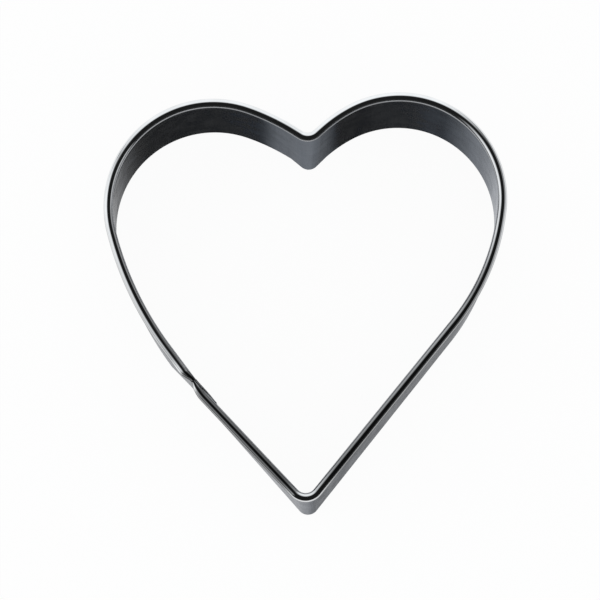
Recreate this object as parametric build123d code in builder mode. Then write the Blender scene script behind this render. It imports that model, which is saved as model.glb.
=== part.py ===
from build123d import *
import os
from collections import namedtuple
from math import acos, atan2, copysign, cos, degrees, radians, sin, tan

# Heart-shaped cookie cutter: one strip of sheet steel with a rolled rim, lapped and spot welded.
# Millimetres, +Z up. The cutting edge stands on Z = 0 and the origin is the bottom centre of the
# bounding box. +X runs across the heart and +Y from its tip to its lobes.

os.makedirs("parts", exist_ok=True)

# Strip
cutter_height = 22.0
sheet = 0.25
bead_diameter = 1.5
roll_gap = 0.075  # between the end of the roll and the outside of the wall
roll_sides = 6  # flats of the hollow inside the roll
rim_depth = 2.2  # height of the zone under the top of the bead that keeps the bends of the rim

# Folds of the heart, as radii at the crest of the bead.
# The stiff bead takes a rounder fold than the cutting edge does.
tip_rim_radius = 2.45
tip_edge_radius = 2.3
notch_rim_radius = 2.2
notch_edge_radius = 1.05

# Lean of the wall, which stands a little off plumb: how far its cutting edge is moved in plan
# against the rim. The two halves and the corners lean along Y, the seam towards the inside.
right_lean = 0.42
left_lean = 0.12
seam_lean = 0.8
notch_push = 0.6
tip_push = 0.55
tip_aside = 0.35  # the same move of the tip along X

# Right half, from the notch outwards, as radii at the crest of the bead and turns
right_rise = 42.4  # degrees
right_arm = 3.0
right_shoulder_radius = 22.8
right_shoulder_turn = 13.6  # degrees
right_lobe_radius = 16.6
right_lobe_turn = 124.6  # degrees
right_side_radius = 35.6
right_side_turn = 32.8  # degrees

# Left half, from the notch outwards
left_rise = 32.0  # degrees
left_arm = 3.0
left_shoulder_radius = 36.6
left_shoulder_turn = 12.7  # degrees
left_lobe_radius = 16.9
left_lobe_turn = 123.7  # degrees
left_side_radius = 54.0
left_side_turn = 22.4  # degrees
upper_flank = 7.0  # straight between the left side and the seam
seam_turn = 6.6  # degrees between the two straights that meet at the seam

# Lapped seam, where the outer end of the strip stands outside the inner one
lap_length = 4.8
lap_gap = 0.03
nose_length = 3.2  # pinched end of the outer bead
nose_width = 0.65
neck_length = 2.4  # pinched end of the inner bead
neck_width = 0.85
neck_gap = 0.15  # from the end of the inner bead to the end of the outer one
pinched_height = 1.8
tongue_drop = 0.3  # how far the top of the inner layer stays below the bead
hem_length = 2.7
hem_height = 1.5
hem_proud = 0.08  # how far the flattened roll stands out of the inner face of the inner layer
hem_cover_share = 0.93  # of the sheet, taken up by the flattened roll where it enters the lap
hem_end_share = 0.87  # the same where the flattened roll runs out inside the sheet

# Shares of the pinch at even stations of a pinched end, from its flat end to the round bead
nose_shares = (1.0, 0.53, 0.22, 0.05, 0.0)
neck_shares = (1.0, 0.92, 0.58, 0.26, 0.0)

# Spot welds
nugget_diameter = 2.0
nugget_dish = 0.06
nugget_height_shares = {"upper": 0.82, "middle": 0.5, "lower": 0.18}

# Derived sizes
bead_radius = bead_diameter / 2
wall_inner = bead_radius  # inset of the face that looks into the heart
wall_outer = bead_radius - sheet
wall_top = cutter_height - rim_depth
bead_level = cutter_height - bead_radius
lap_step = sheet + lap_gap
nose_swell = bead_diameter - nose_width
neck_swell = bead_diameter - neck_width
pinch_rise = pinched_height - bead_diameter
hem_width = hem_proud + sheet * hem_cover_share
hem_end_width = sheet * hem_end_share
layers_half = (sheet + lap_step) / 2
nugget_radius = nugget_diameter / 2

# Headings in plan, in degrees, of the strip as it runs from its outer end
# down to the tip, round the right half, over the notch and down the left half
notch_in_heading = 180 + right_rise
right_flank_heading = notch_in_heading - right_shoulder_turn - right_lobe_turn - right_side_turn
notch_out_heading = 180 - left_rise
upper_heading = notch_out_heading + left_shoulder_turn + left_lobe_turn + left_side_turn
lower_heading = upper_heading + seam_turn

Run = namedtuple("Run", "start heading bends")
Pinch = namedtuple("Pinch", "flat_end full_end heading swell shares")


def direction(heading):
    """Unit vector in plan along a heading."""
    return Vector(cos(radians(heading)), sin(radians(heading)))


def inward(heading):
    """Unit vector in plan towards the inside of the heart."""
    return direction(heading + 90)


def heading_of(vector):
    """Heading of a vector in plan."""
    return degrees(atan2(vector.Y, vector.X))


def span_of(heading, bends):
    """Vector from the start to the end of bends that follow each other with no straight between."""
    span = Vector(0, 0)
    for radius, turn in bends:
        chord = 2 * radius * sin(radians(abs(turn) / 2))
        span += direction(heading + turn / 2) * chord
        heading += turn
    return span


def corner_run(before, corner, after, radius):
    """Run that rounds the corner of two straights."""
    heading = heading_of(corner - before)
    turn = (heading_of(after - corner) - heading + 180) % 360 - 180
    setback = radius * tan(radians(abs(turn) / 2))
    return Run(corner - direction(heading) * setback, heading, ((radius, turn),))


class HeartPlan:
    """Corners and runs of the strip in plan, all on the crest line of the bead.

    The lean is none under the rim and full at the cutting edge.
    """

    def __init__(self, notch_place, lean):
        right_bends = (
            (right_side_radius, right_side_turn),
            (right_lobe_radius, right_lobe_turn),
            (right_shoulder_radius, right_shoulder_turn),
        )
        left_bends = (
            (left_shoulder_radius, left_shoulder_turn),
            (left_lobe_radius, left_lobe_turn),
            (left_side_radius, left_side_turn),
        )
        up = direction(right_flank_heading)
        down = direction(lower_heading)

        # corners of the rim, where the wall has no lean
        right_arm_start = notch_place - direction(notch_in_heading) * right_arm
        right_start = right_arm_start - span_of(right_flank_heading, right_bends)
        left_arm_end = notch_place + direction(notch_out_heading) * left_arm
        left_end = left_arm_end + span_of(notch_out_heading, left_bends)
        self.lap_corner = left_end + direction(upper_heading) * upper_flank
        self.outer_end = self.lap_corner - inward(lower_heading) * lap_step
        lower_flank = (right_start - self.outer_end).cross(up).Z / down.cross(up).Z
        tip_corner = self.outer_end + down * lower_flank

        # the same corners at this lean
        right_shift = Vector(0, -right_lean) * lean
        seam_shift = inward(lower_heading) * seam_lean * lean
        right_start += right_shift
        right_arm_start += right_shift
        left_arm_end += Vector(0, -left_lean) * lean
        self.lap_corner += seam_shift
        self.outer_end += seam_shift
        tip_corner += Vector(tip_aside, -tip_push) * lean
        notch_corner = notch_place + Vector(0, -notch_push) * lean

        tip_radius = tip_rim_radius + (tip_edge_radius - tip_rim_radius) * lean
        notch_radius = notch_rim_radius + (notch_edge_radius - notch_rim_radius) * lean
        self.heart_runs = [
            corner_run(self.outer_end, tip_corner, right_start, tip_radius),
            Run(right_start, right_flank_heading, right_bends),
            corner_run(right_arm_start, notch_corner, left_arm_end, notch_radius),
            Run(left_arm_end, notch_out_heading, left_bends),
        ]

        # ends of the strip and of its bead
        self.outer_full = self.outer_end + down * nose_length
        self.lap_run = Run(self.lap_corner, lower_heading, ())
        self.inner_end = self.lap_corner + down * lap_length
        self.neck = self.lap_corner - direction(upper_heading) * neck_gap
        self.inner_full = self.lap_corner - direction(upper_heading) * neck_length
        sheet_middle = inward(lower_heading) * (wall_outer + sheet / 2)
        self.lap_middle = (self.outer_end + self.inner_end) / 2 + sheet_middle


def strip_line(start, start_heading, runs, end, end_heading, inset=0):
    """Draws straights and tangent bends, moved by an inset towards the inside of the heart."""
    here = start + inward(start_heading) * inset
    for run in runs:
        first = run.start + inward(run.heading) * inset
        Line(here, first)
        here = first
        heading = run.heading
        for radius, turn in run.bends:
            arc = JernArc(here, direction(heading), radius - copysign(inset, turn), turn)
            here = arc @ 1
            heading += turn
    Line(here, end + inward(end_heading) * inset)


def strip_face(start, start_heading, runs, end, end_heading):
    """Draws the sheet in plan: two parallel lines, a sheet apart, closed at both ends."""
    with BuildLine() as outline:
        ends = []
        for inset in (wall_inner, wall_outer):
            strip_line(start, start_heading, runs, end, end_heading, inset)
            first = start + inward(start_heading) * inset
            last = end + inward(end_heading) * inset
            ends.append((first, last))
        Line(ends[0][0], ends[1][0])
        Line(ends[0][1], ends[1][1])
    make_face(outline.edges())


def station(point, heading, level=bead_level):
    """Plane across the strip: local X points out of the heart and local Y up."""
    origin = Vector(point.X, point.Y, level)
    return Plane(origin=origin, x_dir=direction(heading - 90), z_dir=-direction(heading))


def rim_section(width, height):
    """Draws the rolled edge with the top of the wall; its roll is round, or oval where pinched."""
    centre = Vector(width / 2 - wall_inner, bead_radius - height / 2)
    foot = wall_top - bead_level
    roll = 180 + degrees(acos(2 * (sheet + roll_gap) / width - 1))
    bore = []
    for side in range(roll_sides + 1):
        angle = radians(180 - roll * side / roll_sides)
        across = (width / 2 - sheet) * cos(angle)
        bore.append(centre + Vector(across, (height / 2 - sheet) * sin(angle)))
    with BuildLine() as outline:
        outside = EllipticalCenterArc(centre, width / 2, height / 2, 180, arc_size=-roll)
        Polyline(bore)
        Line(outside @ 1, bore[-1])
        Polyline(outside @ 0, (-wall_inner, foot), (-wall_outer, foot), bore[0])
    make_face(outline.edges())


def hem_section(width, inner_face, top):
    """Draws the flattened remains of the roll, an oval that stands proud of the wall inwards."""
    with Locations((width / 2 - inner_face, top - hem_height / 2)):
        Ellipse(width / 2, hem_height / 2)


# Plan of the heart, moved so that the middle of its bounding box is at the origin
first_plan = HeartPlan(Vector(0, 0), 0)
with BuildLine() as first_crest:
    strip_line(
        first_plan.outer_end,
        lower_heading,
        first_plan.heart_runs,
        first_plan.inner_full,
        upper_heading,
    )
notch_place = -first_crest.line.bounding_box().center()
rim_plan = HeartPlan(notch_place, 0)
edge_plan = HeartPlan(notch_place, 1)

# Planes across the strip at the middle of the lap, one for each weld
weld_planes = {}
for name, share in nugget_height_shares.items():
    lap_middle = HeartPlan(notch_place, 1 - share).lap_middle
    weld_planes[name] = station(lap_middle, lower_heading, wall_top * share)

# Strip
with BuildPart() as cutter_band:
    # wall, whose folds are sharper at the cutting edge than under the rim
    for level, plan in ((0, edge_plan), (wall_top, rim_plan)):
        with BuildSketch(Plane.XY.offset(level)):
            strip_face(
                plan.outer_end,
                lower_heading,
                plan.heart_runs + [plan.lap_run],
                plan.inner_end,
                lower_heading,
            )
    loft(ruled=True)

    # rolled rim, round between the pinched ends
    with BuildLine() as crest:
        strip_line(
            rim_plan.outer_full,
            lower_heading,
            rim_plan.heart_runs,
            rim_plan.inner_full,
            upper_heading,
        )
    with BuildSketch(station(rim_plan.outer_full, lower_heading)):
        rim_section(bead_diameter, bead_diameter)
    sweep(path=Plane.XY.offset(bead_level).from_local_coords(crest.line))

    # ends of the roll, pinched flat towards the seam
    nose = Pinch(rim_plan.outer_end, rim_plan.outer_full, lower_heading, nose_swell, nose_shares)
    neck = Pinch(rim_plan.neck, rim_plan.inner_full, upper_heading, neck_swell, neck_shares)
    for pinch in (nose, neck):
        step = (pinch.full_end - pinch.flat_end) / (len(pinch.shares) - 1)
        for place, share in enumerate(pinch.shares):
            with BuildSketch(station(pinch.flat_end + step * place, pinch.heading)):
                rim_section(bead_diameter - pinch.swell * share, bead_diameter + pinch_rise * share)
        loft()

    # tongue, the inner layer of the lap above the wall
    with BuildSketch(Plane.XY.offset(wall_top)):
        strip_face(
            rim_plan.neck,
            upper_heading,
            [rim_plan.lap_run],
            rim_plan.inner_end,
            lower_heading,
        )
    extrude(amount=rim_depth - tongue_drop)

    # flattened roll that leans over to the inside as it enters the lap
    hem_top = bead_radius - tongue_drop + hem_proud
    hem_end = rim_plan.lap_corner + direction(lower_heading) * hem_length
    with BuildSketch(station(rim_plan.neck, upper_heading)):
        hem_section(neck_width - 2 * hem_proud, wall_inner - hem_proud, hem_top)
    with BuildSketch(station(rim_plan.lap_corner, lower_heading)):
        hem_section(hem_width, wall_inner + hem_proud, hem_top)
    with BuildSketch(station(hem_end, lower_heading)):
        hem_section(hem_end_width, wall_outer + (sheet + hem_end_width) / 2, hem_top)
    loft(ruled=True)

    # round holes through both layers, where the welds sit
    for weld in weld_planes.values():
        with BuildSketch(Plane(weld.origin, x_dir=weld.y_dir, z_dir=weld.x_dir)):
            Circle(nugget_radius)
        extrude(amount=lap_step + sheet, both=True, mode=Mode.SUBTRACT)
cutter_band.part.label = "cutter_band"
export_step(cutter_band.part, "parts/cutter_band.step")

# Spot welds, each dished on both faces by the electrodes
for name, weld in weld_planes.items():
    with BuildPart() as weld_nugget:
        with BuildSketch(weld):
            with BuildLine():
                outer_dish = TangentArc(
                    (layers_half - nugget_dish, 0), (layers_half, nugget_radius), tangent=(0, 1)
                )
                inner_dish = TangentArc(
                    (nugget_dish - layers_half, 0), (-layers_half, nugget_radius), tangent=(0, 1)
                )
                Line(outer_dish @ 0, inner_dish @ 0)
                Line(outer_dish @ 1, inner_dish @ 1)
            make_face()
        revolve(axis=Axis(weld.origin, weld.x_dir))
    weld_nugget.part.label = f"{name}_weld_nugget"
    export_step(weld_nugget.part, f"parts/{name}_weld_nugget.step")
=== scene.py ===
"""Looks of a heart-shaped cookie cutter: one strip of polished sheet steel, rolled, lapped and spot welded.

Everything is in metres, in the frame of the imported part: the cutting edge stands on Z = 0, +X runs
across the heart and +Y from its tip to its lobes.
"""

import logging
import math
from dataclasses import dataclass
from enum import Enum
from typing import Sequence

import bmesh
import bpy
import numpy as np
from mathutils import Matrix, Quaternion, Vector

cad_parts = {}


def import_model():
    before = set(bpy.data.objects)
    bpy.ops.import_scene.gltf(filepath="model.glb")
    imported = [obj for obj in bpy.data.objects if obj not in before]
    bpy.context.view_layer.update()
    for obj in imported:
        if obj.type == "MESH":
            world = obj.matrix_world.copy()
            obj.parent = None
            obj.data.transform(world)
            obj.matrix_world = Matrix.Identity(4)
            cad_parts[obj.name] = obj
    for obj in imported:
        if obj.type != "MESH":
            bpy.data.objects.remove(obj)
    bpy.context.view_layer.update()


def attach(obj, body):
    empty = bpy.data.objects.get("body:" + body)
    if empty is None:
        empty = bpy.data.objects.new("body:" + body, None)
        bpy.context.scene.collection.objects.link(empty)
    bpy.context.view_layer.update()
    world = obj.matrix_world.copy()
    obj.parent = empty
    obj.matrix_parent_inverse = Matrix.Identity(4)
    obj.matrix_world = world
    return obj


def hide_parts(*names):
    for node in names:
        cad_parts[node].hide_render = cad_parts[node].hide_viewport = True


Colour = tuple[float, float, float]
Stops = tuple[tuple[float, float], ...]
Value = bpy.types.NodeSocket | float | Colour
Station = tuple[int, float]
Line = list[tuple[float, float]]

MM = 0.001
SAME_POINT = 0.001 * MM
WHITE = (1.0, 1.0, 1.0, 1.0)
log = logging.getLogger("cutter")


class Zone(Enum):
    """Zones of the strip that take a finish of their own, as material slots."""

    INNER_WALL = 0
    BEAD = 1
    OUTER_WALL = 2
    CUT_EDGE = 3


class Weld(Enum):
    """Spot welds of the lap, each with its share of the height of the wall."""

    UPPER = 0.82
    MIDDLE = 0.5
    LOWER = 0.18

    @property
    def node(self) -> str:
        """Name of the weld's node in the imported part."""
        return f"{self.name.lower()}_weld_nugget"


# Small sums


def between(first: float | np.ndarray, second: float | np.ndarray, share: float) -> float | np.ndarray:
    """Return what lies at a share of the way from the first value to the second."""
    return first + (second - first) * share


def squared_off(value: float, power: float) -> float:
    """Raise the size of a value to a power and keep its sign."""
    return math.copysign(abs(value) ** power, value)


def smooth_curve(values: Sequence[float], share: float) -> float:
    """Read a smooth curve through values at even places.

    Args:
        values: The values, from share 0 to share 1.
        share: Where to read.

    Returns:
        The value there. The curve is level at both ends.
    """
    spans = len(values) - 1
    place = min(max(share, 0.0), 1.0) * spans
    index = min(int(place), spans - 1)
    part = place - index
    slopes = [0.0] + [(values[i + 1] - values[i - 1]) / 2 for i in range(1, spans)] + [0.0]
    square, cube = part * part, part * part * part
    return (
        (2 * cube - 3 * square + 1) * values[index]
        + (cube - 2 * square + part) * slopes[index]
        + (3 * square - 2 * cube) * values[index + 1]
        + (cube - square) * slopes[index + 1]
    )


# Plan of the heart


def direction(heading: float) -> np.ndarray:
    """Return the unit vector in plan along a heading in degrees."""
    return np.array([math.cos(math.radians(heading)), math.sin(math.radians(heading))])


def inward(heading: float) -> np.ndarray:
    """Return the unit vector in plan towards the inside of the heart."""
    return direction(heading + 90)


def heading_of(vector: np.ndarray) -> float:
    """Return the heading of a vector in plan, in degrees."""
    return math.degrees(math.atan2(vector[1], vector[0]))


def cross(first: np.ndarray, second: np.ndarray) -> float:
    """Return the cross product of two vectors in plan."""
    return float(first[0] * second[1] - first[1] * second[0])


@dataclass(frozen=True)
class Bend:
    """A tangent bend: its radius at the crest of the bead, and its turn in degrees."""

    radius: float
    turn: float

    def span(self, heading: float) -> np.ndarray:
        """Return the vector from the start to the end of the bend."""
        chord = 2 * self.radius * math.sin(math.radians(abs(self.turn) / 2))
        return direction(heading + self.turn / 2) * chord


@dataclass(frozen=True)
class Stretch:
    """A straight or a bend of the strip, on the crest line of its bead.

    The sides are the inward vectors at its start and end. A bend also has its radius, its heading at
    the start and its turn.
    """

    start: np.ndarray
    end: np.ndarray
    start_side: np.ndarray
    end_side: np.ndarray
    radius: float = 0.0
    heading: float = 0.0
    turn: float = 0.0

    @property
    def length(self) -> float:
        """Length of the stretch at the crest."""
        if self.turn:
            return abs(math.radians(self.turn)) * self.radius
        return float(np.linalg.norm(self.end - self.start))

    def at(self, share: float) -> tuple[np.ndarray, np.ndarray]:
        """Return the crest point and the inward vector at a share of the stretch.

        Args:
            share: 0 at the start and 1 at the end.

        Returns:
            The point and the vector, both in plan.
        """
        if not self.turn:
            return between(self.start, self.end, share), between(self.start_side, self.end_side, share)
        reach = math.copysign(self.radius, self.turn)
        side = inward(self.heading + self.turn * share)
        return self.start + reach * self.start_side - reach * side, side


def span_of(heading: float, bends: Sequence[Bend]) -> np.ndarray:
    """Return the vector over bends that follow each other with no straight between.

    Args:
        heading: Heading at the start of the first bend, in degrees.
        bends: The bends in order.

    Returns:
        The vector from the start of the first bend to the end of the last.
    """
    span = np.zeros(2)
    for bend in bends:
        span = span + bend.span(heading)
        heading += bend.turn
    return span


@dataclass(frozen=True)
class PlanPoints:
    """Points that the strip passes or turns at, from its outer end round the heart to its lap."""

    outer_end: np.ndarray
    tip: np.ndarray
    right_start: np.ndarray
    arm_start: np.ndarray
    notch: np.ndarray
    arm_end: np.ndarray
    lap_corner: np.ndarray


@dataclass(frozen=True)
class HeartPlan:
    """Plan of the strip on the crest line of its bead, at the rim and at the leaning cutting edge.

    Rises and turns are in degrees. The wall's inner face stands wall_inner inside the crest line. The
    leans, the pushes and tip_aside say how far the cutting edge stands from the rim.
    """

    notch_place: tuple[float, float] = (0.562734 * MM, 25.4423 * MM)
    sheet: float = 0.25 * MM
    wall_inner: float = 0.75 * MM
    lap_gap: float = 0.03 * MM
    lap_length: float = 4.8 * MM

    tip_rim_radius: float = 2.45 * MM
    tip_edge_radius: float = 2.3 * MM
    notch_rim_radius: float = 2.2 * MM
    notch_edge_radius: float = 1.05 * MM

    right_lean: float = 0.42 * MM
    left_lean: float = 0.12 * MM
    seam_lean: float = 0.8 * MM
    notch_push: float = 0.6 * MM
    tip_push: float = 0.55 * MM
    tip_aside: float = 0.35 * MM

    right_rise: float = 42.4
    right_arm: float = 3.0 * MM
    right_bends: tuple[Bend, ...] = (Bend(35.6 * MM, 32.8), Bend(16.6 * MM, 124.6), Bend(22.8 * MM, 13.6))
    left_rise: float = 32.0
    left_arm: float = 3.0 * MM
    left_bends: tuple[Bend, ...] = (Bend(36.6 * MM, 12.7), Bend(16.9 * MM, 123.7), Bend(54.0 * MM, 22.4))
    upper_flank: float = 7.0 * MM
    seam_turn: float = 6.6

    @property
    def wall_outer(self) -> float:
        """How far the wall's outer face stands inside the crest line."""
        return self.wall_inner - self.sheet

    @property
    def lap_step(self) -> float:
        """Distance between the same faces of the two layers of the lap."""
        return self.sheet + self.lap_gap

    @property
    def right_flank_heading(self) -> float:
        """Heading of the right flank as it leaves the tip."""
        return 180 + self.right_rise - sum(bend.turn for bend in self.right_bends)

    @property
    def notch_out_heading(self) -> float:
        """Heading of the strip as it leaves the notch."""
        return 180 - self.left_rise

    @property
    def upper_heading(self) -> float:
        """Heading of the left flank above the seam."""
        return self.notch_out_heading + sum(bend.turn for bend in self.left_bends)

    @property
    def lower_heading(self) -> float:
        """Heading of the left flank below the seam."""
        return self.upper_heading + self.seam_turn

    def points(self, lean: float) -> PlanPoints:
        """Place the points of the plan.

        Args:
            lean: 0 under the rim and 1 at the cutting edge.

        Returns:
            The points at that lean.
        """
        notch = np.array(self.notch_place)
        up, down = direction(self.right_flank_heading), direction(self.lower_heading)
        arm_start = notch - direction(180 + self.right_rise) * self.right_arm
        right_start = arm_start - span_of(self.right_flank_heading, self.right_bends)
        arm_end = notch + direction(self.notch_out_heading) * self.left_arm
        left_end = arm_end + span_of(self.notch_out_heading, self.left_bends)
        lap_corner = left_end + direction(self.upper_heading) * self.upper_flank
        outer_end = lap_corner - inward(self.lower_heading) * self.lap_step
        tip = outer_end + down * cross(right_start - outer_end, up) / cross(down, up)

        tipward = np.array([0.0, -1.0]) * lean
        aside = np.array([1.0, 0.0]) * lean
        seam_shift = inward(self.lower_heading) * self.seam_lean * lean
        return PlanPoints(
            outer_end=outer_end + seam_shift,
            tip=tip + aside * self.tip_aside + tipward * self.tip_push,
            right_start=right_start + tipward * self.right_lean,
            arm_start=arm_start + tipward * self.right_lean,
            notch=notch + tipward * self.notch_push,
            arm_end=arm_end + tipward * self.left_lean,
            lap_corner=lap_corner + seam_shift,
        )

    def stretches(self, lean: float) -> list[Stretch]:
        """Draw the strip from its outer end round the heart to its inner end.

        Args:
            lean: 0 under the rim and 1 at the cutting edge.

        Returns:
            The straights and bends in order. The last straight is the inner layer of the lap.
        """
        at = self.points(lean)
        tip_radius = between(self.tip_rim_radius, self.tip_edge_radius, lean)
        notch_radius = between(self.notch_rim_radius, self.notch_edge_radius, lean)
        made: list[Stretch] = []
        here, side = at.outer_end, inward(self.lower_heading)
        runs = (
            self._corner(at.outer_end, at.tip, at.right_start, tip_radius),
            (at.right_start, self.right_flank_heading, self.right_bends),
            self._corner(at.arm_start, at.notch, at.arm_end, notch_radius),
            (at.arm_end, self.notch_out_heading, self.left_bends),
            (at.lap_corner, self.lower_heading, ()),
        )
        for start, heading, bends in runs:
            made.append(Stretch(here, start, side, inward(heading)))
            here, side = start, inward(heading)
            for bend in bends:
                bent = Stretch(here, here, side, side, bend.radius, heading, bend.turn)
                end, end_side = bent.at(1.0)
                made.append(Stretch(here, end, side, end_side, bend.radius, heading, bend.turn))
                here, side = end, end_side
                heading += bend.turn
        lap_end = at.lap_corner + direction(self.lower_heading) * self.lap_length
        made.append(Stretch(here, lap_end, side, side))
        return made

    @staticmethod
    def _corner(
        before: np.ndarray, corner: np.ndarray, after: np.ndarray, radius: float
    ) -> tuple[np.ndarray, float, tuple[Bend, ...]]:
        """Round the corner of two straights.

        Args:
            before: A point on the straight that comes in.
            corner: Where the two straights would meet.
            after: A point on the straight that goes out.
            radius: Radius of the rounding at the crest.

        Returns:
            The start of the bend, its heading there, and the bend.
        """
        heading = heading_of(corner - before)
        turn = (heading_of(after - corner) - heading + 180) % 360 - 180
        setback = radius * math.tan(math.radians(abs(turn) / 2))
        return corner - direction(heading) * setback, heading, (Bend(radius, turn),)


# Finishes


@dataclass(frozen=True)
class Pattern:
    """A noise: its cells per metre along each axis, its octaves and how strong the finer ones are."""

    cells: tuple[float, float, float]
    detail: float
    roughness: float = 0.5


class Nodes:
    """A node tree, with short calls to add and join its nodes."""

    def __init__(self, owner: bpy.types.Material | bpy.types.World) -> None:
        """Empty the owner's tree.

        Args:
            owner: The material or the world to fill.
        """
        owner.use_nodes = True
        self.tree = owner.node_tree
        self.tree.nodes.clear()

    def add(self, kind: str, **settings: object) -> bpy.types.Node:
        """Add a node.

        Args:
            kind: The node's type name.
            settings: Properties of the node, or values of its inputs by their names.

        Returns:
            The new node.
        """
        node = self.tree.nodes.new(kind)
        for name, value in settings.items():
            if hasattr(node, name):
                setattr(node, name, value)
            else:
                node.inputs[name.replace("_", " ")].default_value = value
        return node

    def feed(self, socket: bpy.types.NodeSocket, value: Value) -> None:
        """Give an input its value.

        Args:
            socket: The input.
            value: The output to join to it, a number or a colour.
        """
        if isinstance(value, bpy.types.NodeSocket):
            self.tree.links.new(value, socket)
        else:
            socket.default_value = (*value, 1.0) if isinstance(value, tuple) else value

    def axis(self, place: bpy.types.NodeSocket, name: str) -> bpy.types.NodeSocket:
        """Return one coordinate of a place, by its axis."""
        node = self.add("ShaderNodeSeparateXYZ")
        self.feed(node.inputs[0], place)
        return node.outputs[name]

    def math(self, operation: str, first: Value, second: Value) -> bpy.types.NodeSocket:
        """Add a math node.

        Args:
            operation: Its operation.
            first: A socket or a number.
            second: A socket or a number.

        Returns:
            The node's output.
        """
        node = self.add("ShaderNodeMath", operation=operation)
        self.feed(node.inputs[0], first)
        self.feed(node.inputs[1], second)
        return node.outputs[0]

    def weighted(self, *terms: tuple[bpy.types.NodeSocket, float]) -> bpy.types.NodeSocket:
        """Add values up.

        Args:
            terms: Each value with its weight.

        Returns:
            The sum.
        """
        parts = [self.math("MULTIPLY", value, weight) for value, weight in terms]
        total = parts[0]
        for part in parts[1:]:
            total = self.math("ADD", total, part)
        return total

    def ramp(
        self, source: bpy.types.NodeSocket, low: float, high: float, out_low: float, out_high: float
    ) -> bpy.types.NodeSocket:
        """Map a range of one value smoothly to another range.

        Args:
            source: The value to map.
            low: Where the source range starts.
            high: Where the source range ends.
            out_low: Result at the start.
            out_high: Result at the end.

        Returns:
            The mapped value.
        """
        node = self.add("ShaderNodeMapRange", interpolation_type="SMOOTHSTEP")
        self.feed(node.inputs["Value"], source)
        for name, value in (("From Min", low), ("From Max", high), ("To Min", out_low), ("To Max", out_high)):
            node.inputs[name].default_value = value
        return node.outputs["Result"]

    def noise(self, place: bpy.types.NodeSocket, pattern: Pattern) -> bpy.types.NodeSocket:
        """Add a noise.

        Args:
            place: The coordinates.
            pattern: The kind of noise.

        Returns:
            The noise, between 0 and 1.
        """
        mapping = self.add("ShaderNodeMapping", Scale=pattern.cells)
        self.feed(mapping.inputs["Vector"], place)
        node = self.add("ShaderNodeTexNoise", Scale=1.0, Detail=pattern.detail, Roughness=pattern.roughness)
        self.feed(node.inputs["Vector"], mapping.outputs["Vector"])
        return node.outputs["Fac"]

    def stops(self, source: bpy.types.NodeSocket, places: Stops) -> bpy.types.NodeSocket:
        """Read a value through stops.

        Args:
            source: A value between 0 and 1.
            places: Pairs of a place between 0 and 1 and the value there, in order.

        Returns:
            The value between the stops.
        """
        node = self.add("ShaderNodeValToRGB")
        self.feed(node.inputs["Fac"], source)
        elements = node.color_ramp.elements
        node.color_ramp.interpolation = "EASE"
        for index, (place, value) in enumerate(places):
            stop = elements[index] if index < 2 else elements.new(place)
            stop.position, stop.color = place, (value, value, value, 1.0)
        return node.outputs["Color"]

    def blend(self, factor: bpy.types.NodeSocket, first: Value, second: Value) -> bpy.types.NodeSocket:
        """Blend two colours.

        Args:
            factor: 0 gives the first and 1 the second.
            first: A colour or a socket.
            second: A colour or a socket.

        Returns:
            The blended colour.
        """
        node = self.add("ShaderNodeMix", data_type="RGBA")
        self.feed(node.inputs["Factor"], factor)
        self.feed(node.inputs[6], first)
        self.feed(node.inputs[7], second)
        return node.outputs[2]

    def metal(self, relief: bpy.types.NodeSocket, **inputs: bpy.types.NodeSocket) -> bpy.types.NodeSocket:
        """Add a metal shader.

        Args:
            relief: Height of the surface, in metres.
            inputs: Values of the shader's other inputs by their names.

        Returns:
            The shader.
        """
        bump = self.add("ShaderNodeBump", Strength=1.0, Distance=1.0)
        self.feed(bump.inputs["Height"], relief)
        shader = self.add("ShaderNodeBsdfPrincipled", Metallic=1.0)
        self.feed(shader.inputs["Normal"], bump.outputs["Normal"])
        for name, value in inputs.items():
            self.feed(shader.inputs[name.replace("_", " ")], value)
        return shader.outputs["BSDF"]

    def mixed(
        self, share: bpy.types.NodeSocket, first: bpy.types.Node, second: bpy.types.Node
    ) -> bpy.types.NodeSocket:
        """Mix two shaders.

        Args:
            share: 0 gives the first and 1 the second.
            first: A shader node.
            second: A shader node.

        Returns:
            The mixed shader.
        """
        node = self.add("ShaderNodeMixShader")
        for socket, value in zip(node.inputs, (share, first.outputs[0], second.outputs[0])):
            self.feed(socket, value)
        return node.outputs[0]

    def show(self, kind: str, shader: bpy.types.NodeSocket) -> None:
        """Join a shader to an output node of the given type."""
        self.feed(self.add(kind).inputs["Surface"], shader)


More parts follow.
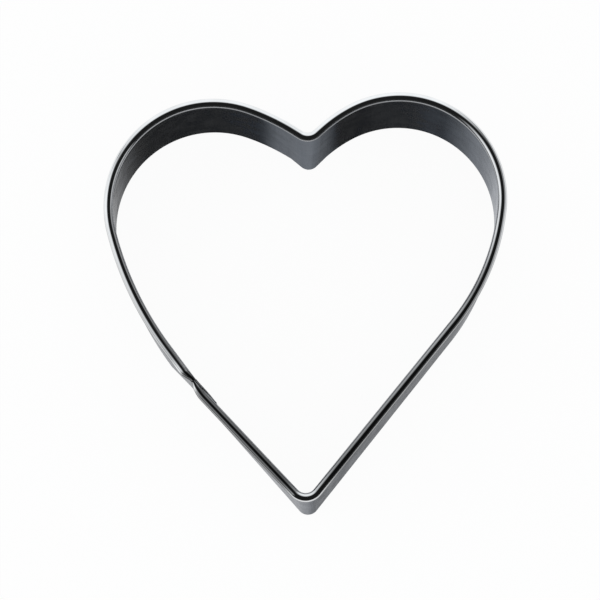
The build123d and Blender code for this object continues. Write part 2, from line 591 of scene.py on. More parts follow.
@dataclass(frozen=True)
class SteelFinish:
    """Polished sheet steel with fine lines across the strip, soft clouds and a few scratches.

    The texture lies on the strip's own map, in metres along the strip and up its section. The sheen
    at a low angle is painted shade and painted reflection, set by place along the strip and not by the
    light: its places give pairs of a share of strip_length and a share of the way from the dark sheen
    to the light one. In the same way the colour carries painted shade along the strip, with painted
    highlights where it stays full: its places give pairs of a share of strip_length and how much of
    the colour is left there.

    The depths are in metres, and grain_share and scratch_cut are shares of line_depth. The worn and
    polished ranges are of the mixed noise, from its dull patches to its bright ones.
    """

    name: str
    bright: Colour
    dull: Colour
    dark_sheen: Colour
    light_sheen: Colour
    painted_sheen_places: Stops
    smooth: float
    rough: float
    line_depth: float
    wave_depth: float
    scratch_share: float
    line_pitch: float = 0.2 * MM
    line_share: float = 0.3
    painted_shade_places: Stops = ((0.0, 1.0), (1.0, 1.0))
    strip_length: float = 0.21

    clouds: Pattern = Pattern((300.0, 300.0, 1.0), 3.0)
    grain: Pattern = Pattern((26000.0, 9000.0, 1.0), 2.0)
    drift: Pattern = Pattern((900.0, 60.0, 1.0), 3.0)
    scratches: Pattern = Pattern((150.0, 1900.0, 1.0), 1.0)
    line_cells: float = 90.0
    line_detail: float = 3.0
    line_roughness: float = 0.6

    drift_share: float = 0.2
    worn_range: tuple[float, float] = (0.34, 0.66)
    polished_range: tuple[float, float] = (0.36, 0.64)
    patchiness: float = 0.35
    scratch_width: float = 0.0016
    scratch_shine: float = 1.25
    scratch_rough: float = 0.12
    scratch_cut: float = 2.0
    grain_rough: float = 0.02
    grain_share: float = 0.25

    def material(self) -> bpy.types.Material:
        """Make the material.

        Returns:
            The material, with its procedural nodes.
        """
        made = bpy.data.materials.new(self.name)
        nodes = Nodes(made)
        place = nodes.add("ShaderNodeUVMap", uv_map="strip").outputs["UV"]
        along = nodes.math("DIVIDE", nodes.axis(place, "X"), self.strip_length)

        line_cells = (1 / self.line_pitch, self.line_cells, 1.0)
        lines = nodes.noise(place, Pattern(line_cells, self.line_detail, self.line_roughness))
        clouds, grain, drift = (nodes.noise(place, kind) for kind in (self.clouds, self.grain, self.drift))
        middle = nodes.math("SUBTRACT", nodes.noise(place, self.scratches), 0.5)
        ridge = nodes.math("ABSOLUTE", middle, 0.0)
        scratch = nodes.ramp(ridge, 0.0, self.scratch_width, self.scratch_share, 0.0)
        cloud_share = 1 - self.line_share - self.drift_share
        tone = nodes.weighted((lines, self.line_share), (clouds, cloud_share), (drift, self.drift_share))

        colour = nodes.blend(nodes.ramp(tone, *self.worn_range, 0.0, 1.0), self.dull, self.bright)
        shine = tuple(min(1.0, value * self.scratch_shine) for value in self.bright)
        colour = nodes.blend(scratch, colour, shine)
        # Painted shade and painted highlights: the colour is darkened by place along the strip.
        colour = nodes.blend(nodes.stops(along, self.painted_shade_places), (0.0, 0.0, 0.0), colour)

        rough = nodes.ramp(tone, *self.polished_range, self.rough, self.smooth)
        rough = nodes.weighted((rough, 1.0), (grain, self.grain_rough), (scratch, self.scratch_rough))
        relief = nodes.weighted(
            (lines, self.line_depth),
            (grain, self.line_depth * self.grain_share),
            (clouds, self.wave_depth),
            (scratch, -self.line_depth * self.scratch_cut),
        )

        # Painted shade and painted reflection: the sheen at a low angle is set by place along the strip.
        patchy = nodes.math("SUBTRACT", tone, 0.5)
        sheen = nodes.weighted((nodes.stops(along, self.painted_sheen_places), 1.0), (patchy, self.patchiness))
        clear = nodes.add("ShaderNodeClamp")
        nodes.feed(clear.inputs["Value"], sheen)
        sheen = nodes.blend(clear.outputs[0], self.dark_sheen, self.light_sheen)
        shader = nodes.metal(relief, Base_Color=colour, Roughness=rough, Specular_Tint=sheen)
        nodes.show("ShaderNodeOutputMaterial", shader)
        return made


# Painted shade and painted reflection: the near-black sheen at a low angle darkens the inner wall, most in
# the lobes, and its places along the strip lighten it at the right lobe's side, the notch and the lap.
INSIDE_STEEL = SteelFinish(
    name="inside_steel",
    bright=(0.45, 0.458, 0.47),
    dull=(0.415, 0.422, 0.433),
    dark_sheen=(0.004, 0.005, 0.0065),
    light_sheen=(0.46, 0.495, 0.55),
    painted_sheen_places=(
        *((0.0, 0.8), (0.03, 0.4), (0.3, 0.5), (0.4, 0.9), (0.455, 0.5), (0.5, 0.1), (0.53, 0.0)),
        *((0.58, 0.0), (0.6, 0.22), (0.61, 0.5), (0.63, 0.4), (0.655, 0.06), (0.7, 0.0)),
        *((0.75, 0.0), (0.8, 0.12), (0.84, 0.35), (0.98, 0.5), (1.0, 0.9)),
    ),
    smooth=0.17,
    rough=0.22,
    line_depth=0.0012 * MM,
    wave_depth=0.004 * MM,
    scratch_share=0.2,
)

# Painted shade and painted highlights: the colour is darkened by place along the flanks, the tip and the
# neck, with painted highlights left at the nose and at the end of the upper bead, and a dark sheen at a low
# angle dims the bead's outer side on the flanks.
BEAD_STEEL = SteelFinish(
    name="bead_steel",
    bright=(0.93, 0.945, 0.955),
    dull=(0.86, 0.875, 0.885),
    dark_sheen=(0.04, 0.042, 0.046),
    light_sheen=(0.95, 0.96, 0.98),
    painted_sheen_places=(
        *((0.0, 0.1), (0.3, 0.1), (0.37, 0.5), (0.5, 0.9)),
        *((0.75, 0.9), (0.88, 0.5), (0.94, 0.15), (1.0, 0.1)),
    ),
    painted_shade_places=(
        *((0.0, 0.5), (0.0025, 1.0), (0.0045, 1.0), (0.009, 0.4), (0.1, 0.33), (0.124, 0.87), (0.16, 0.35)),
        *((0.3, 0.45), (0.42, 0.85), (0.52, 1.0), (0.8, 0.95), (0.9, 0.72), (0.945, 0.68)),
        *((0.954, 1.0), (0.957, 1.0), (0.9605, 0.25), (0.972, 0.18), (0.985, 0.45), (1.0, 0.45)),
    ),
    smooth=0.03,
    rough=0.065,
    line_depth=0.0002 * MM,
    wave_depth=0.002 * MM,
    scratch_share=0.15,
    line_pitch=0.08 * MM,
    line_share=0.08,
)

# Painted shade: the sheen at a low angle is set by place along the strip, lighter on the outer wall up to the
# tip and darker past it on the right flank.
OUTSIDE_STEEL = SteelFinish(
    name="outside_steel",
    bright=(0.49, 0.497, 0.51),
    dull=(0.455, 0.462, 0.475),
    dark_sheen=(0.055, 0.06, 0.068),
    light_sheen=(0.85, 0.875, 0.92),
    painted_sheen_places=(
        *((0.0, 0.2), (0.03, 0.4), (0.09, 0.45), (0.122, 0.42), (0.135, 0.14)),
        *((0.3, 0.14), (0.34, 0.3), (0.9, 0.42), (1.0, 0.35)),
    ),
    smooth=0.16,
    rough=0.2,
    line_depth=0.0012 * MM,
    wave_depth=0.004 * MM,
    scratch_share=0.25,
)

SHEARED_EDGE = SteelFinish(
    name="sheared_edge",
    bright=(0.85, 0.86, 0.875),
    dull=(0.7, 0.71, 0.72),
    dark_sheen=(0.6, 0.6, 0.6),
    light_sheen=(0.9, 0.9, 0.9),
    painted_sheen_places=((0.0, 0.5), (1.0, 0.5)),
    smooth=0.38,
    rough=0.6,
    line_depth=0.001 * MM,
    wave_depth=0.002 * MM,
    scratch_share=0.05,
)

ZONE_FINISHES = {
    Zone.INNER_WALL: INSIDE_STEEL,
    Zone.BEAD: BEAD_STEEL,
    Zone.OUTER_WALL: OUTSIDE_STEEL,
    Zone.CUT_EDGE: SHEARED_EDGE,
}


@dataclass(frozen=True)
class WeldFinish:
    """Steel of a spot weld: a bare dished middle, a burnished ring and a faint heat tint round it.

    The texture lies on the weld's own map: the share of the radius, and the turn round the axis. The
    ring and the tint fade in over ranges of that share, which patches push in and out by up to half
    of ragged.
    """

    name: str = "spot_weld"
    bare: Colour = (0.5, 0.5, 0.51)
    ring: Colour = (0.34, 0.33, 0.33)
    straw: Colour = (0.46, 0.4, 0.33)
    ring_range: tuple[float, float] = (0.55, 0.68)
    straw_range: tuple[float, float] = (0.72, 0.95)
    ragged: float = 0.16
    pits: Pattern = Pattern((9000.0, 9000.0, 9000.0), 3.0, 0.6)
    patches: Pattern = Pattern((1500.0, 1500.0, 1500.0), 2.0)
    pit_range: tuple[float, float] = (0.35, 0.65)
    pit_depth: float = 0.004 * MM
    smooth: float = 0.22
    rough: float = 0.45

    def material(self) -> bpy.types.Material:
        """Make the material.

        Returns:
            The material, with its procedural nodes.
        """
        made = bpy.data.materials.new(self.name)
        nodes = Nodes(made)
        share = nodes.axis(nodes.add("ShaderNodeUVMap", uv_map="weld").outputs["UV"], "X")
        place = nodes.add("ShaderNodeTexCoord").outputs["Object"]
        pits = nodes.noise(place, self.pits)
        shift = nodes.math("SUBTRACT", nodes.noise(place, self.patches), 0.5)
        radius = nodes.weighted((share, 1.0), (shift, self.ragged))
        colour = nodes.blend(nodes.ramp(radius, *self.ring_range, 0.0, 1.0), self.bare, self.ring)
        colour = nodes.blend(nodes.ramp(radius, *self.straw_range, 0.0, 1.0), colour, self.straw)
        rough = nodes.ramp(pits, *self.pit_range, self.smooth, self.rough)
        relief = nodes.math("MULTIPLY", pits, self.pit_depth)
        shader = nodes.metal(relief, Base_Color=colour, Roughness=rough)
        nodes.show("ShaderNodeOutputMaterial", shader)
        return made


@dataclass(frozen=True)
class FloorFinish:
    """Pale matt floor, whose white also shows straight to the lens and in the metal."""

    name: str = "pale_floor"
    colour: Colour = (0.9, 0.9, 0.9)
    fleck: float = 0.985
    paper: Pattern = Pattern((900.0, 900.0, 900.0), 3.0)
    roughness: float = 0.6
    cover: float = 0.95

    def material(self) -> bpy.types.Material:
        """Make the material.

        Returns:
            The material, with its procedural nodes.
        """
        made = bpy.data.materials.new(self.name)
        nodes = Nodes(made)
        paper = nodes.noise(nodes.add("ShaderNodeTexCoord").outputs["Object"], self.paper)
        flecked = tuple(value * self.fleck for value in self.colour)
        matt = nodes.add("ShaderNodeBsdfDiffuse", Roughness=self.roughness)
        nodes.feed(matt.inputs["Color"], nodes.blend(paper, self.colour, flecked))
        white = nodes.add("ShaderNodeEmission", Strength=1.0, Color=WHITE)
        path = nodes.add("ShaderNodeLightPath")
        seen = nodes.math("MAXIMUM", path.outputs["Is Camera Ray"], path.outputs["Is Glossy Ray"])
        seen = nodes.math("MAXIMUM", seen, path.outputs["Is Transmission Ray"])
        shader = nodes.mixed(nodes.math("MULTIPLY", seen, self.cover), matt, white)
        nodes.show("ShaderNodeOutputMaterial", shader)
        return made


# Meshes


def finished_mesh(name: str, shape: bmesh.types.BMesh) -> bpy.types.Mesh:
    """Turn a drawn shape into a mesh and free the shape."""
    mesh = bpy.data.meshes.new(name)
    shape.to_mesh(mesh)
    shape.free()
    return mesh


def mesh_object(name: str, mesh: bpy.types.Mesh) -> bpy.types.Object:
    """Put a mesh in the scene.

    Args:
        name: Name of the object.
        mesh: Its mesh, in the shared frame.

    Returns:
        The object, at the origin.
    """
    made = bpy.data.objects.new(name, mesh)
    bpy.context.scene.collection.objects.link(made)
    return made


def ladder_mesh(
    name: str, rings: np.ndarray, maps: np.ndarray, zones: Sequence[int], closed_oval: bool = False
) -> bpy.types.Mesh:
    """Build a closed shell from rings of points that follow each other along the strip.

    Args:
        name: Name of the mesh.
        rings: Points by station and place round the section. The second half of a section runs
            back beside its first half.
        maps: Map coordinates of the same points.
        zones: Material slot of the faces that start at each place round the section.
        closed_oval: Whether each end is closed by one face, and not by rungs across the sheet.

    Returns:
        The mesh, with its faces turned outwards.
    """
    stations, around = rings.shape[:2]
    shape = bmesh.new()
    layer = shape.loops.layers.uv.new("strip")
    points = [shape.verts.new(place) for place in rings.reshape(-1, 3)]
    flat_maps = maps.reshape(-1, 2)

    def face(corners: Sequence[int], zone: int) -> None:
        """Add one face with its map and zone.

        Args:
            corners: Its points, by their place among all points.
            zone: Its material slot.
        """
        made = shape.faces.new([points[corner] for corner in corners])
        made.material_index = zone
        made.smooth = True
        for loop, corner in zip(made.loops, corners):
            loop[layer].uv = flat_maps[corner]

    for station in range(stations - 1):
        first, second = station * around, (station + 1) * around
        for place in range(around):
            after = (place + 1) % around
            face((first + place, first + after, second + after, second + place), zones[place])
    half = around // 2
    for base in (0, (stations - 1) * around):
        if closed_oval:
            face([base + place for place in range(around)], zones[0])
            continue
        for place in range(half - 1):
            back = around - 1 - place
            face((base + place, base + place + 1, base + back - 1, base + back), zones[back - 1])
    bmesh.ops.recalc_face_normals(shape, faces=shape.faces)
    return finished_mesh(name, shape)


def cut_away(target: bpy.types.Object, tool: bpy.types.Object, zone: Zone) -> None:
    """Cut a tool's shape out of a piece and delete the tool.

    The faces keep their zones only because both meshes have the same material slots. Points that the
    cut leaves almost on top of each other are merged, so that the shell has no slivers.

    Args:
        target: The piece to cut.
        tool: A closed mesh object.
        zone: Zone of the faces that the tool leaves.
    """
    for material in target.data.materials:
        tool.data.materials.append(material)
    for face in tool.data.polygons:
        face.material_index = zone.value
    cut = target.modifiers.new("hole", "BOOLEAN")
    cut.operation, cut.solver, cut.object = "DIFFERENCE", "EXACT", tool
    bpy.context.view_layer.update()
    result = bpy.data.meshes.new_from_object(target.evaluated_get(bpy.context.evaluated_depsgraph_get()))
    target.modifiers.clear()
    shape = bmesh.new()
    shape.from_mesh(result)
    bmesh.ops.remove_doubles(shape, verts=shape.verts, dist=SAME_POINT)
    bmesh.ops.dissolve_degenerate(shape, dist=SAME_POINT, edges=shape.edges)
    shape.to_mesh(result)
    shape.free()
    old, target.data = target.data, result
    name = old.name
    bpy.data.meshes.remove(old)
    result.name = name
    bpy.data.objects.remove(tool)


# Pieces


@dataclass
class RolledStrip:
    """The strip: its wall, its rolled rim with the pinched ends, and the lap.

    The roll narrows and rises over nose_length at the outer end and over neck_length at the seam. The
    tuples of shares say how much of that pinch is left at even places along those lengths. Angles
    are in degrees.
    """

    plan: HeartPlan

    height: float = 22.0 * MM
    bead_diameter: float = 1.5 * MM
    roll_gap: float = 0.075 * MM
    rim_depth: float = 2.2 * MM
    edge_break: float = 0.03 * MM
    inside_angle: float = 138.0
    sharp_angle: float = 32.0

    nose_length: float = 3.2 * MM
    nose_width: float = 0.65 * MM
    nose_shares: tuple[float, ...] = (1.0, 0.53, 0.22, 0.05, 0.0)
    neck_length: float = 2.4 * MM
    neck_width: float = 0.85 * MM
    neck_gap: float = 0.15 * MM
    neck_shares: tuple[float, ...] = (1.0, 0.92, 0.58, 0.26, 0.0)
    pinched_height: float = 1.8 * MM
    pinched_power: float = 3.4

    tongue_drop: float = 0.3 * MM
    tongue_slope: float = 2.2 * MM
    hem_length: float = 2.2 * MM
    hem_slope: float = 0.35 * MM
    hem_height: float = 1.5 * MM
    hem_proud: float = 0.08 * MM
    hem_cover: float = 0.93
    hem_end_cover: float = 0.87
    hem_map_step: float = 0.15 * MM

    bend_step: float = 0.5 * MM
    fold_step: float = 0.12 * MM
    fold_radius: float = 5.0 * MM
    straight_step: float = 1.5 * MM
    pinch_step: float = 0.1 * MM
    pinch_clear: float = 0.05
    wall_levels: int = 12
    roll_steps: int = 40
    tongue_neck_steps: int = 2
    tongue_lap_steps: int = 24
    hem_neck_steps: int = 5
    hem_lap_steps: int = 18
    hem_around: int = 24

    def __post_init__(self) -> None:
        """Draw the plan at the rim and at the cutting edge."""
        self.rim = self.plan.stretches(0.0)
        self.edge = self.plan.stretches(1.0)
        self.lap = len(self.rim) - 1
        self.last = self.lap - 1

    @property
    def wall_top(self) -> float:
        """Height where the lean of the wall ends."""
        return self.height - self.rim_depth

    @property
    def neck_share(self) -> float:
        """Share of the last straight where the inner bead ends."""
        length = self.rim[self.last].length
        return (length - self.neck_gap) / length

    def roll_turn(self, width: float) -> float:
        """Return how far a roll of the given width turns until its edge stops short of the wall."""
        return 180 + math.degrees(math.acos(2 * (self.plan.sheet + self.roll_gap) / width - 1))

    def main_stations(self) -> list[Station]:
        """Space the stations of the rolled strip, closer in the bends and at the pinched ends.

        Returns:
            The stretch and share of each station, from the outer end to the neck.
        """
        made: list[Station] = []
        for index, stretch in enumerate(self.rim[: self.lap]):
            end = self.neck_share if index == self.last else 1.0
            step = self.straight_step
            if stretch.turn:
                step = self.fold_step if stretch.radius < self.fold_radius else self.bend_step
            count = max(2, math.ceil(stretch.length * end / step))
            shares = list(np.linspace(0.0, end, count + 1))
            if index == 0:
                full = self.nose_length / stretch.length
                count = math.ceil(self.nose_length / self.pinch_step)
                clear = [share for share in shares if share > full * (1 + self.pinch_clear)]
                shares = [*np.linspace(0.0, full, count + 1), *clear]
            if index == self.last:
                full = end - (self.neck_length - self.neck_gap) / stretch.length
                count = math.ceil(self.neck_length / self.pinch_step)
                clear = [share for share in shares if share < full * (1 - self.pinch_clear)]
                shares = [*clear, *np.linspace(full, end, count + 1)]
            made += [(index, share) for share in shares[:-1]]
        made.append((self.last, self.neck_share))
        return made

    def inner_stations(self, neck_steps: int, lap_steps: int, reach: float = 1.0) -> list[Station]:
        """Space stations from the neck into the inner layer of the lap.

        Args:
            neck_steps: Steps from the neck to the start of the lap.
            lap_steps: Steps from there on.
            reach: Share of the lap's length where they end.

        Returns:
            The stretch and share of each station.
        """
        neck = np.linspace(self.neck_share, 1.0, neck_steps + 1)[:-1]
        lapped = np.linspace(0.0, 1.0, lap_steps + 1) * reach
        return [*((self.last, share) for share in neck), *((self.lap, share) for share in lapped)]

    def place(self, station: Station, offset: float, level: float) -> np.ndarray:
        """Return a point of the strip.

        Args:
            station: The stretch and the share along it.
            offset: How far the point stands out from the crest line.
            level: Its height.

        Returns:
            The point in space.
        """
        index, share = station
        point, side = self.rim[index].at(share)
        lean = max(0.0, 1 - level / self.wall_top)
        if lean:
            edge_point, edge_side = self.edge[index].at(share)
            point, side = between(point, edge_point, lean), between(side, edge_side, lean)
        return np.array([*(point - side * offset), level])

    def distance(self, station: Station) -> float:
        """Return how far along the crest a station is."""
        index, share = station
        return sum(stretch.length for stretch in self.rim[:index]) + self.rim[index].length * share

    def section_size(self, station: Station) -> tuple[float, float, float]:
        """Measure the roll at a station.

        Args:
            station: The stretch and the share along it.

        Returns:
            Its width, its height and its pinch, from 0 for none to 1.
        """
        index, share = station
        pinch, width = 0.0, self.bead_diameter
        if index == 0:
            pinch = smooth_curve(self.nose_shares, share * self.rim[0].length / self.nose_length)
            width = self.nose_width
        elif index == self.last:
            from_neck = (self.neck_share - share) * self.rim[index].length
            pinch = smooth_curve(self.neck_shares, from_neck / (self.neck_length - self.neck_gap))
            width = self.neck_width
        wide = between(self.bead_diameter, width, pinch)
        return wide, between(self.bead_diameter, self.pinched_height, pinch), pinch

    def wall_section(self) -> tuple[Line, Line]:
        """Draw the sheet from the cutting edge up to where the lean of the wall ends.

        Returns:
            Offsets and levels of the face that looks into the heart, and of the face behind it.
        """
        levels = [self.edge_break, *np.linspace(0.0, self.wall_top, self.wall_levels)[1:]]
        face = [(-self.plan.wall_inner + self.edge_break, 0.0)]
        back = [(-self.plan.wall_outer - self.edge_break, 0.0)]
        face += [(-self.plan.wall_inner, level) for level in levels]
        back += [(-self.plan.wall_outer, level) for level in levels]
        return face, back

    def rolled_section(self, station: Station) -> tuple[Line, Line]:
        """Draw the sheet at a station, up the wall and round the roll.

        Args:
            station: The stretch and the share along it.

        Returns:
            Offsets and levels of the two faces, as wall_section gives them.
        """
        width, height, pinch = self.section_size(station)
        power = 2 / between(2.0, self.pinched_power, pinch)
        middle, centre = width / 2 - self.plan.wall_inner, self.height - height / 2
        roll = self.roll_turn(width)
        face, back = self.wall_section()
        for step in range(self.roll_steps + 1):
            angle = math.radians(180 - roll * step / self.roll_steps)
            across, up = squared_off(math.cos(angle), power), squared_off(math.sin(angle), power)
            for line, inset in ((face, 0.0), (back, self.plan.sheet)):
                line.append((middle + (width / 2 - inset) * across, centre + (height / 2 - inset) * up))
        return face, back

    def plain_section(self, station: Station) -> tuple[Line, Line]:
        """Draw the sheet of the inner layer of the lap, which has no roll.

        Args:
            station: The stretch and the share along it.

        Returns:
            Offsets and levels of the two faces, as wall_section gives them.
        """
        index, share = station
        in_lap = share if index == self.lap else 0.0
        top = self.height - self.tongue_drop - self.tongue_slope * in_lap**3
        face, back = self.wall_section()
        for inset in (0.0, self.edge_break):
            level = top - self.edge_break + inset
            face.append((-self.plan.wall_inner + inset, level))
            back.append((-self.plan.wall_outer - inset, level))
        return face, back

    def section_zones(self, half: int, rolled: bool) -> list[int]:
        """Share a section out among the zones.

        Args:
            half: Number of points on one face of the sheet.
            rolled: Whether the section has the roll.

        Returns:
            The material slot of the faces that start at each place round the section.
        """
        foot, inside_end = half, half
        if rolled:
            foot = self.wall_levels + 1
            share = (180 - self.inside_angle) / self.roll_turn(self.bead_diameter)
            inside_end = foot + round(share * self.roll_steps)
        made = []
        for place in range(2 * half):
            if place == 2 * half - 1 or (not rolled and half - 2 <= place <= half):
                zone = Zone.CUT_EDGE
            elif place < inside_end:
                zone = Zone.INNER_WALL
            elif place < 2 * half - foot:
                zone = Zone.BEAD
            else:
                zone = Zone.OUTER_WALL
            made.append(zone.value)
        return made

    def shell(self, name: str, stations: list[Station], rolled: bool) -> bpy.types.Object:
        """Build a length of the strip as a closed shell.

        Args:
            name: Name of the piece.
            stations: Where its sections stand.
            rolled: Whether it has the rolled rim.

        Returns:
            The piece.
        """
        rings, maps = [], []
        for station in stations:
            face, back = self.rolled_section(station) if rolled else self.plain_section(station)
            ring = [self.place(station, *point) for point in (*face, *reversed(back))]
            along, climb = self.distance(station), [0.0]
            for before, after in zip(ring, ring[1:]):
                climb.append(climb[-1] + float(np.linalg.norm(after - before)))
            rings.append(ring)
            maps.append([(along, up) for up in climb])
        zones = self.section_zones(len(face), rolled)
        return mesh_object(name, ladder_mesh(name, np.array(rings), np.array(maps), zones))

    def hem(self) -> bpy.types.Object:
        """Build the flattened remains of the roll, which lean to the inside as the strip enters the lap.

        Returns:
            The piece.
        """
        sheet, wall_inner = self.plan.sheet, self.plan.wall_inner
        end_width = sheet * self.hem_end_cover
        widths = (self.neck_width - 2 * self.hem_proud, self.hem_proud + sheet * self.hem_cover, end_width)
        end_inset = self.plan.wall_outer + (sheet + end_width) / 2
        insets = (wall_inner - self.hem_proud, wall_inner + self.hem_proud, end_inset)
        top = self.height - self.tongue_drop + self.hem_proud
        reach = self.hem_length / self.rim[self.lap].length
        rings, maps = [], []
        stations = self.inner_stations(self.hem_neck_steps, self.hem_lap_steps, reach)
        for count, station in enumerate(stations):
            in_neck = min(1.0, count / self.hem_neck_steps)
            in_neck = in_neck * in_neck * (3 - 2 * in_neck)
            in_lap = max(0.0, (count - self.hem_neck_steps) / self.hem_lap_steps)
            width, inset = (
                between(between(first, corner, in_neck), last, in_lap)
                for first, corner, last in (widths, insets)
            )
            drop = self.hem_slope * in_lap**2
            ring, flat = [], []
            for step in range(self.hem_around):
                angle = math.tau * step / self.hem_around
                offset = width / 2 - inset + width / 2 * math.cos(angle)
                level = top - drop - (self.hem_height - drop) / 2 * (1 - math.sin(angle))
                ring.append(self.place(station, offset, level))
                flat.append((self.distance(station), step * self.hem_map_step))
            rings.append(ring)
            maps.append(flat)
        name, zones = "flattened_hem", [Zone.BEAD.value] * self.hem_around
        return mesh_object(name, ladder_mesh(name, np.array(rings), np.array(maps), zones, True))

    def build(self, welds: Sequence["SpotWeld"]) -> None:
        """Build the strip, cut the holes of the welds and dress it.

        Args:
            welds: The welds that sit in the lap.
        """
        strip = self.shell("rolled_strip", self.main_stations(), True)
        lap_stations = self.inner_stations(self.tongue_neck_steps, self.tongue_lap_steps)
        tongue = self.shell("lap_tongue", lap_stations, False)
        pieces = [strip, tongue, self.hem()]
        materials = [ZONE_FINISHES[zone].material() for zone in Zone]
        for piece in pieces:
            for material in materials:
                piece.data.materials.append(material)
        for weld in welds:
            for layer in (strip, tongue):
                cut_away(layer, weld.hole_tool(), Zone.CUT_EDGE)
        for piece in pieces:
            piece.data.shade_smooth()
            piece.data.set_sharp_from_angle(angle=math.radians(self.sharp_angle))
            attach(piece, "root")
            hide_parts("cutter_band")
            log.info("%s: %d faces", piece.name, len(piece.data.polygons))


@dataclass
class SpotWeld:
    """One spot weld through the two layers of the lap, dished on both faces by the electrodes."""

    weld: Weld
    plan: HeartPlan
    wall_top: float
    finish: bpy.types.Material
    radius: float = 1.0 * MM
    dish: float = 0.06 * MM
    clearance: float = 0.008 * MM
    ring_share: float = 0.66
    ring_spread: float = 0.07
    ring_height: float = 0.012 * MM
    tool_reach: float = 4.0
    sharp_angle: float = 40.0
    turns: int = 64
    rings: int = 22

    @property
    def half_thickness(self) -> float:
        """Half the thickness of the two layers together."""
        return (self.plan.sheet + self.plan.lap_step) / 2

    def frame(self) -> Matrix:
        """Place the weld in the middle of the lap.

        Returns:
            The weld's own frame, whose local Z points out of the heart, square to the leaning wall.
        """
        stretches = self.plan.stretches(1 - self.weld.value)
        outer_end, inner_end = stretches[0].start, stretches[-1].end
        heading = self.plan.lower_heading
        side = inward(heading)
        middle = (outer_end + inner_end) / 2 + side * (self.plan.wall_outer + self.plan.sheet / 2)
        outward = Vector((-side[0], -side[1], -self.plan.seam_lean / self.wall_top)).normalized()
        along = Vector((*direction(heading), 0.0))
        frame = Matrix((along, outward.cross(along), outward)).transposed().to_4x4()
        frame.translation = Vector((middle[0], middle[1], self.wall_top * self.weld.value))
        return frame

    def hole_tool(self) -> bpy.types.Object:
        """Build the tool that cuts the weld's hole.

        Returns:
            A round bar that is longer than the lap is thick.
        """
        shape = bmesh.new()
        bmesh.ops.create_cone(
            shape,
            cap_ends=True,
            segments=self.turns,
            radius1=self.radius,
            radius2=self.radius,
            depth=self.half_thickness * self.tool_reach,
            matrix=self.frame(),
        )
        return mesh_object("hole", finished_mesh("hole", shape))

    def face_height(self, share: float) -> float:
        """Return how far the weld's face stands from its middle at a share of the radius."""
        hollow = self.dish * (1 - share * share)
        ring = self.ring_height * math.exp(-(((share - self.ring_share) / self.ring_spread) ** 2))
        return self.half_thickness - hollow + ring

    def mesh(self, name: str) -> bpy.types.Mesh:
        """Turn the weld's profile round its axis.

        Args:
            name: Name of the mesh.

        Returns:
            The mesh, in the weld's own frame, with its map.
        """
        radius = self.radius - self.clearance
        shape = bmesh.new()
        layer = shape.loops.layers.uv.new("weld")
        shares = [step / self.rings for step in range(1, self.rings + 1)]
        profile = [(share, self.face_height(share)) for share in shares]
        profile += [(share, -height) for share, height in reversed(profile)]
        angles = [math.tau * turn / self.turns for turn in range(self.turns)]
        grid = []
        for share, height in profile:
            reach = radius * share
            places = [(reach * math.cos(angle), reach * math.sin(angle), height) for angle in angles]
            grid.append([shape.verts.new(place) for place in places])
        top = shape.verts.new((0.0, 0.0, self.face_height(0.0)))
        bottom = shape.verts.new((0.0, 0.0, -self.face_height(0.0)))
        for turn in range(self.turns):
            after = (turn + 1) % self.turns
            shape.faces.new((top, grid[0][turn], grid[0][after]))
            shape.faces.new((bottom, grid[-1][after], grid[-1][turn]))
            for first, second in zip(grid, grid[1:]):
                shape.faces.new((first[turn], second[turn], second[after], first[after]))
        for face in shape.faces:
            face.smooth = True
            for loop in face.loops:
                x, y, _ = loop.vert.co
                loop[layer].uv = (math.hypot(x, y) / radius, math.atan2(y, x) / math.tau)
        bmesh.ops.recalc_face_normals(shape, faces=shape.faces)
        return finished_mesh(name, shape)

    def build(self) -> None:
        """Build the weld in its place and dress it."""
        name = f"{self.weld.name.lower()}_weld"
        mesh = self.mesh(name)
        mesh.transform(self.frame())
        mesh.materials.append(self.finish)
        mesh.set_sharp_from_angle(angle=math.radians(self.sharp_angle))
        piece = mesh_object(name, mesh)
        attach(piece, "root")
        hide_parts(self.weld.node)
        log.info("%s: %d faces", name, len(mesh.polygons))


# Studio


@dataclass(frozen=True)
class SoftWindow:
    """A soft-edged round light in the dome.

    Its heading and height are in degrees, and so are the angles from its middle where its full light
    ends and where it has faded out.
    """

    heading: float
    height: float
    full: float
    faded: float
    strength: float

    @property
    def aim(self) -> tuple[float, float, float]:
        """Unit vector towards the middle of the light."""
        along = direction(self.heading) * math.cos(math.radians(self.height))
        return float(along[0]), float(along[1]), math.sin(math.radians(self.height))


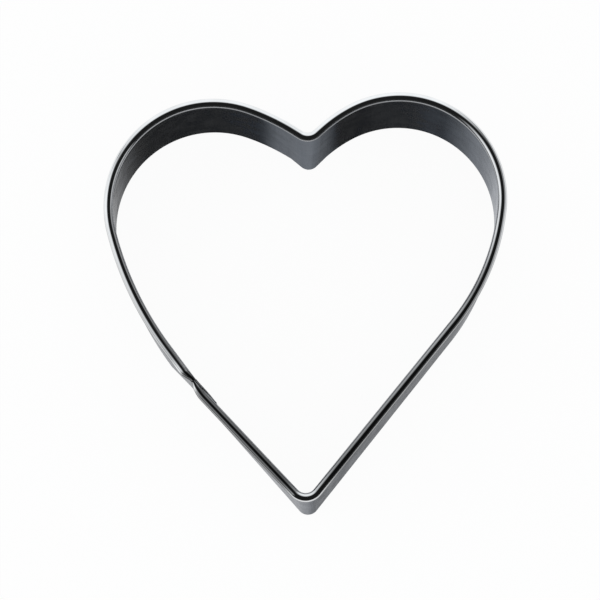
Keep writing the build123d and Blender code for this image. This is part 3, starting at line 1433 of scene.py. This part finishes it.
@dataclass
class Studio:
    """Pale floor, soft light that stands low round the object, and the camera.

    The dome goes from low_light to overhead between two heights of its unit vector.
    """

    floor_finish: FloorFinish
    floor_radius: float = 6.0
    floor_sides: int = 96

    camera_place: tuple[float, float, float] = (0.4207 * MM, -173.4498 * MM, 1103.9286 * MM)
    camera_aim: tuple[float, float, float] = (-0.8049 * MM, -0.7408 * MM, 22.0 * MM)
    camera_roll: float = -0.1765
    camera_reach: tuple[float, float] = (0.01, 30.0)
    lens: float = 409.2
    sensor: float = 36.0

    dome_colour: tuple[float, float, float, float] = (0.97, 0.985, 1.0, 1.0)
    low_light: float = 0.03
    low_height: float = 0.1
    overhead: float = 0.012
    overhead_height: float = 0.6
    even_light: float = 1.0
    windows: tuple[SoftWindow, ...] = (
        SoftWindow(98.0, 23.0, 26.0, 52.0, 1.0),
        SoftWindow(178.0, 26.0, 12.0, 46.0, 1.05),
        SoftWindow(353.0, 18.0, 16.0, 26.0, 0.5),
        SoftWindow(18.0, 0.0, 33.0, 47.0, 0.32),
    )

    def build_floor(self) -> None:
        """Lay the floor."""
        shape = bmesh.new()
        bmesh.ops.create_circle(shape, cap_ends=True, segments=self.floor_sides, radius=self.floor_radius)
        mesh = finished_mesh("floor", shape)
        mesh.materials.append(self.floor_finish.material())
        floor = mesh_object("floor", mesh)

    def build_world(self) -> None:
        """Light the object from a dome.

        What shines sees soft windows low down at the back and sides and a dark ceiling, and what is
        matt is lit evenly, at a level that shows its colour as it is written.
        """
        world = bpy.data.worlds.new("studio")
        bpy.context.scene.world = world
        nodes = Nodes(world)
        place = nodes.add("ShaderNodeTexCoord").outputs["Generated"]
        height = nodes.axis(place, "Z")
        light = nodes.ramp(height, self.low_height, self.overhead_height, self.low_light, self.overhead)
        for window in self.windows:
            angle = nodes.add("ShaderNodeVectorMath", operation="DOT_PRODUCT")
            nodes.feed(angle.inputs[0], place)
            angle.inputs[1].default_value = window.aim
            faded, full = math.cos(math.radians(window.faded)), math.cos(math.radians(window.full))
            glow = nodes.ramp(angle.outputs["Value"], faded, full, 0.0, window.strength)
            light = nodes.math("MAXIMUM", light, glow)
        path = nodes.add("ShaderNodeLightPath")
        even = nodes.math("MULTIPLY", path.outputs["Is Diffuse Ray"], self.even_light)
        dome = nodes.add("ShaderNodeBackground", Color=self.dome_colour)
        nodes.feed(dome.inputs["Strength"], nodes.math("MAXIMUM", light, even))
        white = nodes.add("ShaderNodeBackground", Strength=1.0, Color=WHITE)
        nodes.show("ShaderNodeOutputWorld", nodes.mixed(path.outputs["Is Camera Ray"], dome, white))

    def build_camera(self) -> None:
        """Set up the camera at the photograph's angle."""
        data = bpy.data.cameras.new("camera")
        data.lens, data.sensor_width = self.lens, self.sensor
        data.clip_start, data.clip_end = self.camera_reach
        camera = bpy.data.objects.new("camera", data)
        bpy.context.scene.collection.objects.link(camera)
        place, aim = Vector(self.camera_place), Vector(self.camera_aim)
        turn = (aim - place).to_track_quat("-Z", "Y") @ Quaternion((0, 0, 1), math.radians(self.camera_roll))
        camera.rotation_mode = "QUATERNION"
        camera.location, camera.rotation_quaternion = place, turn
        bpy.context.scene.camera = camera

    def build(self) -> None:
        """Build the whole studio."""
        self.build_floor()
        self.build_world()
        self.build_camera()
        bpy.context.scene.view_settings.view_transform = "Standard"
        log.info("studio: floor, dome and camera")


def main() -> None:
    """Build the cutter and its studio."""
    logging.basicConfig(level=logging.INFO, format="%(name)s %(message)s")
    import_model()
    strip = RolledStrip(HeartPlan())
    weld_finish = WeldFinish().material()
    welds = [SpotWeld(weld, strip.plan, strip.wall_top, weld_finish) for weld in Weld]
    strip.build(welds)
    for weld in welds:
        weld.build()
    Studio(FloorFinish()).build()


if __name__ == "__main__":
    main()
